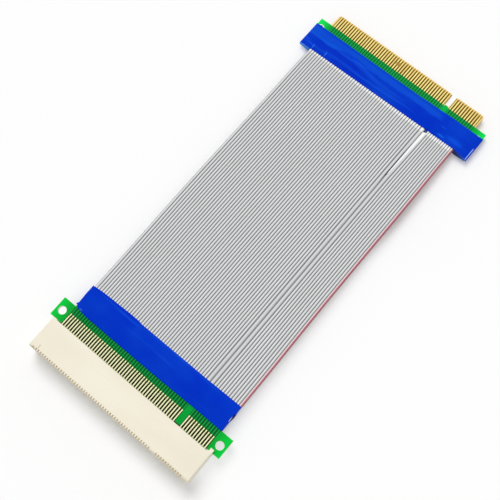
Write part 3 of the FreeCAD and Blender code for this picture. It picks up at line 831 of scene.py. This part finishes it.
def tape_finish():
    """Blue film: creases, painted sheen where it lifts off the plug, painted highlights, painted light and
    shade on folds and ends.
    """
    material, place = new_finish("blue_film", {"Specular IOR Level": 0.03})
    x, y, z = place.axes()
    broad = place.noise(60.0, 2.0).between(0.3, 0.75)
    pulled = place.stretched(0.12, 1.0, 1.0).noise(500.0, 3.0)
    wander = place.stretched(0.5, 0.5, 0.0).noise(260.0, 3.0) * 3 * MM
    wander = wander + 1.8 * MM * x.between(-34 * MM, -25 * MM)
    # Painted sheen: a lighter band where the film slopes up off the plug board
    lifted_sheen = (y - wander).between(plug_wrap_low.y + LIFTED_SHEEN_FROM, plug_wrap_low.y + LIFTED_SHEEN_TO)
    lifted_sheen = lifted_sheen * (x - wander).between(KEY_X + 1.5 * MM, KEY_X - 4.5 * MM) * (0.6 + 0.4 * pulled)
    lifted_sheen = lifted_sheen * (1 - 0.5 * y.between(plug_wrap_high.y - 1.4 * MM, plug_wrap_high.y - 0.6 * MM))
    # Painted highlights along thin creases
    crease_sheen = place.stretched(0.05, 1.0, 1.0).noise(420.0, 2.0).between(0.6, 0.72)
    film = broad.mix(tone(0, 46, 196), tone(4, 62, 202))
    film = (0.4 * crease_sheen).mix(film, tone(20, 92, 224))
    film = (lifted_sheen * (0.75 + 0.5 * crease_sheen)).mix(film, tone(12, 86, 214))
    # Painted highlights in small spots
    for centre_x, centre_y, reach_x, reach_y, shade in TAPE_HIGHLIGHTS:
        highlight = patch(place, Vector((centre_x, centre_y)) * MM, Vector((reach_x, reach_y)) * MM)
        film = (0.75 * highlight).mix(film, shade)
    # Painted shade: a dark gap at the slot tape's right end
    gap_shade = abs(y - slot_wrap_low.y - GAP_SHADE_PLACE).between(1.8 * MM, 1.2 * MM)
    film = (gap_shade * (x > slot_wrap_high.x - 0.25 * MM)).mix(film, tone(2, 10, 62))
    at_plug = y > 0
    pressed = (z < plug_high.z + TAPE_THICKNESS) * at_plug
    past_cable = pressed * (abs(x - SWAY_AT_PLUG) > ROW_EDGE)
    # Painted light on the left fold and on the fold in the slit
    left_fold_light = past_cable * (x < 0) * (y < plug_wrap_low.y + LEFT_FOLD)
    film = left_fold_light.mix(film, tone(45, 150, 255))
    slit_fold_light = pressed * (abs(x - SLIT_X) < SHUT_REACH) * (y < plug_wrap_low.y + SLIT_FOLD)
    film = slit_fold_light.mix(film, tone(60, 130, 255))
    # Painted shade on the right fold, darkest beside the cable
    right_fold_shade = past_cable * (x > 0) * (y < plug_wrap_low.y + RIGHT_FOLD)
    fold_shade_tone = x.between(ROW_EDGE, plug_wrap_high.x).mix(tone(0, 12, 96), tone(0, 96, 226))
    film = right_fold_shade.mix(film, fold_shade_tone)
    gleam = 1 - abs(x - plug_wrap_high.x + GLEAM_PLACE).between(0.12 * MM, 0.26 * MM)
    gleam = gleam * y.between(plug_wrap_low.y + 7.5 * MM, plug_wrap_low.y + 6.5 * MM) * at_plug
    paint((0.85 * gleam).mix(film, tone(160, 190, 255)), "Base Color")
    paint(0.1 + 0.08 * pulled, "Roughness")
    relief(pulled, PULL_DEPTH)
    return material


def bump(value, centre, reach):
    """1 at a centre, falling smoothly to 0 at its reach."""
    return 1 - smooth_step(abs(value - centre), 0.0, reach)


def edge_offset(points, x):
    """How far an edge of the film strays at x, from points in mm."""
    return MM * interp(x / MM, *zip(*points))


def wrap_mesh(name, rear_y, front_y, level, board_edge, board_top, cable_top, wear):
    """Band round a board: rear_y is over the cable and front_y over the board."""
    lip = board_top + TAPE_THICKNESS
    crest = cable_top + TAPE_THICKNESS
    shape = bmesh.new()
    rows = []
    shares = [step / TAPE_STEPS_ALONG for step in range(TAPE_STEPS_ALONG + 1)]
    for share in sorted(shares + [FOLD_SHARE]):
        ring = []
        for face in (1, -1):
            for step in range(TAPE_STEPS_ACROSS + 1):
                x = face * board_edge * (2 * step / TAPE_STEPS_ACROSS - 1)
                rear = rear_y + edge_offset(wear["rear_edge"], x)
                front = front_y + edge_offset(wear["front_edge"], x)
                y = rear * (1 - share) + front * share
                ripple = noise.noise(Vector((x * 90, y * 160, face * 3.0 + rear_y * 50)))
                sway = noise.noise(Vector((x * 55, face * 7.0, rear_y * 30)))
                from_cable = abs(x - wear["cable_shift"])
                past_cable = smooth_step(from_cable, ROW_EDGE, ROW_EDGE + PRESSED_EDGE)
                rise = 1 - smooth_step(share, wear["slope_start"] + 0.16 * sway, 1.0)
                flank = 1 - smooth_step(abs(x), ROW_EDGE, max(board_edge, ROW_EDGE + 2 * MM))
                height = lip + (crest - lip) * rise * flank
                grip = abs(math.cos(math.pi * (x + ROW_EDGE) / PITCH)) * (1 - past_cable)
                height -= GRIP_DEPTH * grip * (1 - smooth_step(share, 0.0, 0.15))
                height -= wear["sag"] * bump(x, SLIT_X, SAG_REACH) * (1 - smooth_step(share, 0.0, 0.1))
                # Below, ripples only go inwards, so that the film stays above the table
                height += min(wear["ripple"] * ripple, wear["ripple"] if face > 0 else 0.0)
                # Where the tape is shut, the edge of the upper film goes down almost to the lower film
                if face > 0 and share == 0:
                    shut = max(past_cable, bump(x, SLIT_X, SHUT_REACH) if wear["sag"] else 0.0)
                    height -= shut * 2 * (height - TAPE_THICKNESS)
                ring.append((x, y, level + face * height))
            end_x, end_y, end_z = ring[-1]
            stand_off = TAPE_THICKNESS
            for side, centre, reach, size in wear["bulges"]:
                if side == face:
                    stand_off += size * bump(share, centre, reach)
            for step in range(1, TAPE_END_STEPS):
                turn = math.pi * step / TAPE_END_STEPS
                ring.append((end_x + face * stand_off * math.sin(turn), end_y,
                             level + (end_z - level) * math.cos(turn)))
        rows.append([shape.verts.new(place) for place in ring])
    count = len(rows[0])
    for row, following in zip(rows, rows[1:]):
        for index in range(count):
            after = (index + 1) % count
            shape.faces.new((row[index], row[after], following[after], following[index]))
    bmesh.ops.recalc_face_normals(shape, faces=shape.faces)
    return finished_mesh(name, shape, math.radians(60))


def tape_wrap(end, rear_y, front_y, board_edge, wear):
    """Tape round one end of the cable and its board, as a shell of film."""
    board_low, board_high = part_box(f"{end}_board")
    level = (board_low.z + board_high.z) / 2
    board_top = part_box(f"{end}_lands_upper")[1].z - level
    cable_top = board_high.z + 2 * WIRE_RADIUS - level
    name = f"{end}_tape"
    mesh = wrap_mesh(name, rear_y, front_y, level, board_edge, board_top, cable_top, wear)
    piece = new_piece(name, mesh, blue_film, "blue_tape", f"{end}_wrap")
    shell = piece.modifiers.new("film", "SOLIDIFY")
    shell.thickness = TAPE_THICKNESS
    shell.offset = -1
    return piece


# How each tape lies. Edges are cut askew by points of x and offset in mm, and bulges stand at an end.
PLUG_WEAR = {"cable_shift": SWAY_AT_PLUG, "slope_start": 0.5, "ripple": 0.07 * MM, "sag": 0.85 * MM,
             "bulges": [],
             "rear_edge": [(-46, 0.3), (-39.4, 0.25), (38.5, 1.25), (40, 0.95)],
             "front_edge": [(12, 0.0), (30, 0.65)]}
SLOT_WEAR = {"cable_shift": SWAY_AT_SLOT, "slope_start": 0.35, "ripple": 0.06 * MM, "sag": 0.0,
             "bulges": [(-1, 0.97, 0.1, 0.7 * MM), (1, 0.4, 0.25, 0.3 * MM)],
             "rear_edge": [(-39, -0.35), (-34, 0.1), (-20, 0.5), (-14.5, 0.5), (-13.5, 0.2), (20, 0.3),
                           (39, 0.6)],
             "front_edge": [(-39.6, 0.9), (-38.4, 0.0), (-36.5, -0.3), (-33, -0.65), (0, -0.6), (30, -0.1)]}
blue_film = tape_finish()
tape_wrap("plug", plug_wrap_low.y, plug_wrap_high.y, plug_wrap_high.x - TAPE_THICKNESS, PLUG_WEAR)
tape_wrap("slot", slot_wrap_high.y, slot_wrap_low.y, slot_wrap_high.x - TAPE_THICKNESS, SLOT_WEAR)


# Studio: a white table, one broad soft light from behind the plug and even light from all round. The table
# glows like a light box: a little near the plug, more along both sides, and most below the slit, the key
# notch and the holes, which show white.
FLOOR_SIZE = 6.0
FLOOR_DROP = 0.02 * MM
LIGHT_FROM = Vector((-0.46, 0.38, 0.8))
LIGHT_SPREAD = math.radians(36)
AMBIENT = 0.6
PLUG_GLOW = 0.13
SIDE_GLOW = 0.6
SLIT_GLOW = 0.95
SLIT_GLOW_REACH = Vector((6, 18)) * MM
SLIT_GLOW_SETBACK = 16 * MM
# Glow below the four holes and the key notch: place and reach in mm, and strength
GLOW_SPOTS = [(-43.9, -81.2, 2.0, 0.95), (42.4, -81.4, 2.0, 0.65), (-43.9, 90.8, 1.4, 0.9),
              (43.1, 90.8, 1.4, 0.9), (24.0, 98.0, 4.3, 0.9)]


def shown_rays(start):
    """1 for the rays that show the white ground: the camera's own, and those by way of metal and glass."""
    rays = start.node("ShaderNodeLightPath").socket.node.outputs
    seen = [Value(start.tree, rays[f"Is {kind} Ray"]) for kind in ("Camera", "Glossy", "Transmission")]
    return (seen[0] + seen[1] + seen[2]).math("MINIMUM", 1.0)


half_floor = FLOOR_SIZE / 2
floor_mesh = bpy.data.meshes.new("table")
floor_corners = [(-half_floor, -half_floor, 0), (half_floor, -half_floor, 0), (half_floor, half_floor, 0),
                 (-half_floor, half_floor, 0)]
floor_mesh.from_pydata(floor_corners, [], [(0, 1, 2, 3)])
table = bpy.data.objects.new("table", floor_mesh)
bpy.context.scene.collection.objects.link(table)
table.location.z = -FLOOR_DROP
white_table, table_place = new_finish("white_table", {"Specular IOR Level": 0.0, "Roughness": 0.9})
paint(table_place.noise(3.0).mix(tone(254, 254, 254), tone(253, 253, 253)), "Base Color")
table_x, table_y, _ = table_place.axes()
near_plug = table_y.between(0, 60 * MM)
left_side = table_x.between(-38 * MM, -48 * MM)
beside_cable = table_y.between(50 * MM, 15 * MM) * table_y.between(-104 * MM, -92 * MM)
right_side = table_x.between(36 * MM, 42 * MM) * beside_cable
from_slit_glow = abs(table_y - plug_wrap_low.y + SLIT_GLOW_SETBACK)
under_slit = (abs(table_x - KEY_X) < SLIT_GLOW_REACH.x) * (from_slit_glow < SLIT_GLOW_REACH.y)
glow_share = (PLUG_GLOW * near_plug).math("MAXIMUM", SIDE_GLOW * left_side)
glow_share = glow_share.math("MAXIMUM", SIDE_GLOW * right_side)
glow_share = glow_share.math("MAXIMUM", SLIT_GLOW * under_slit)
for across, along, reach, strength in GLOW_SPOTS:
    below = (abs(table_x - across * MM) < reach * MM) * (abs(table_y - along * MM) < reach * MM)
    glow_share = glow_share.math("MAXIMUM", strength * below)
table_nodes = white_table.node_tree.nodes
surface = Value(white_table.node_tree, table_nodes["Principled BSDF"].outputs[0])
glow = table_place.node("ShaderNodeEmission", inputs={"Color": tone(254, 254, 254)})
lit_table = table_place.node("ShaderNodeMixShader",
                             inputs={0: shown_rays(table_place) * glow_share, 1: surface, 2: glow})
white_table.node_tree.links.new(lit_table.socket, table_nodes["Material Output"].inputs["Surface"])
floor_mesh.materials.append(white_table)

lamp_data = bpy.data.lights.new("soft_light", "SUN")
lamp_data.angle = LIGHT_SPREAD
lamp_data.energy = (1 - AMBIENT) * math.pi / LIGHT_FROM.normalized().z
lamp = bpy.data.objects.new("soft_light", lamp_data)
lamp.location = LIGHT_FROM
lamp.rotation_mode = "QUATERNION"
lamp.rotation_quaternion = (-LIGHT_FROM).to_track_quat("-Z", "Y")
lamp.visible_glossy = False
bpy.context.scene.collection.objects.link(lamp)

world = bpy.data.worlds.new("even_light")
bpy.context.scene.world = world
world.use_nodes = True
shown = shown_rays(Value(world.node_tree))
backdrop = world.node_tree.nodes["Background"]
backdrop.inputs["Color"].default_value = (1, 1, 1, 1)
world.node_tree.links.new((AMBIENT + (1 - AMBIENT) * shown).socket, backdrop.inputs["Strength"])


# Camera: nearly overhead, from the slot's right-hand side, and turned a little about its own axis. It stands
# at the distance that gives the photo's perspective.
CAMERA_PLACE = Vector((76.1, -89.15, 364.2)) * MM
CAMERA_TARGET = Vector((-0.8, -11.1, 0.0)) * MM
CAMERA_ROLL = math.radians(-4.84)
FOCAL_LENGTH = 64.4
SENSOR_WIDTH = 36.0
NEAREST_SEEN = 10 * MM

camera_data = bpy.data.cameras.new("camera")
camera_data.lens = FOCAL_LENGTH
camera_data.sensor_width = SENSOR_WIDTH
camera_data.clip_start = NEAREST_SEEN
camera = bpy.data.objects.new("camera", camera_data)
camera.location = CAMERA_PLACE
camera.rotation_mode = "QUATERNION"
aim = (CAMERA_TARGET - CAMERA_PLACE).to_track_quat("-Z", "Y")
camera.rotation_quaternion = aim @ Quaternion((0, 0, 1), CAMERA_ROLL)
bpy.context.scene.collection.objects.link(camera)
bpy.context.scene.camera = camera
bpy.context.scene.view_settings.view_transform = "Standard"
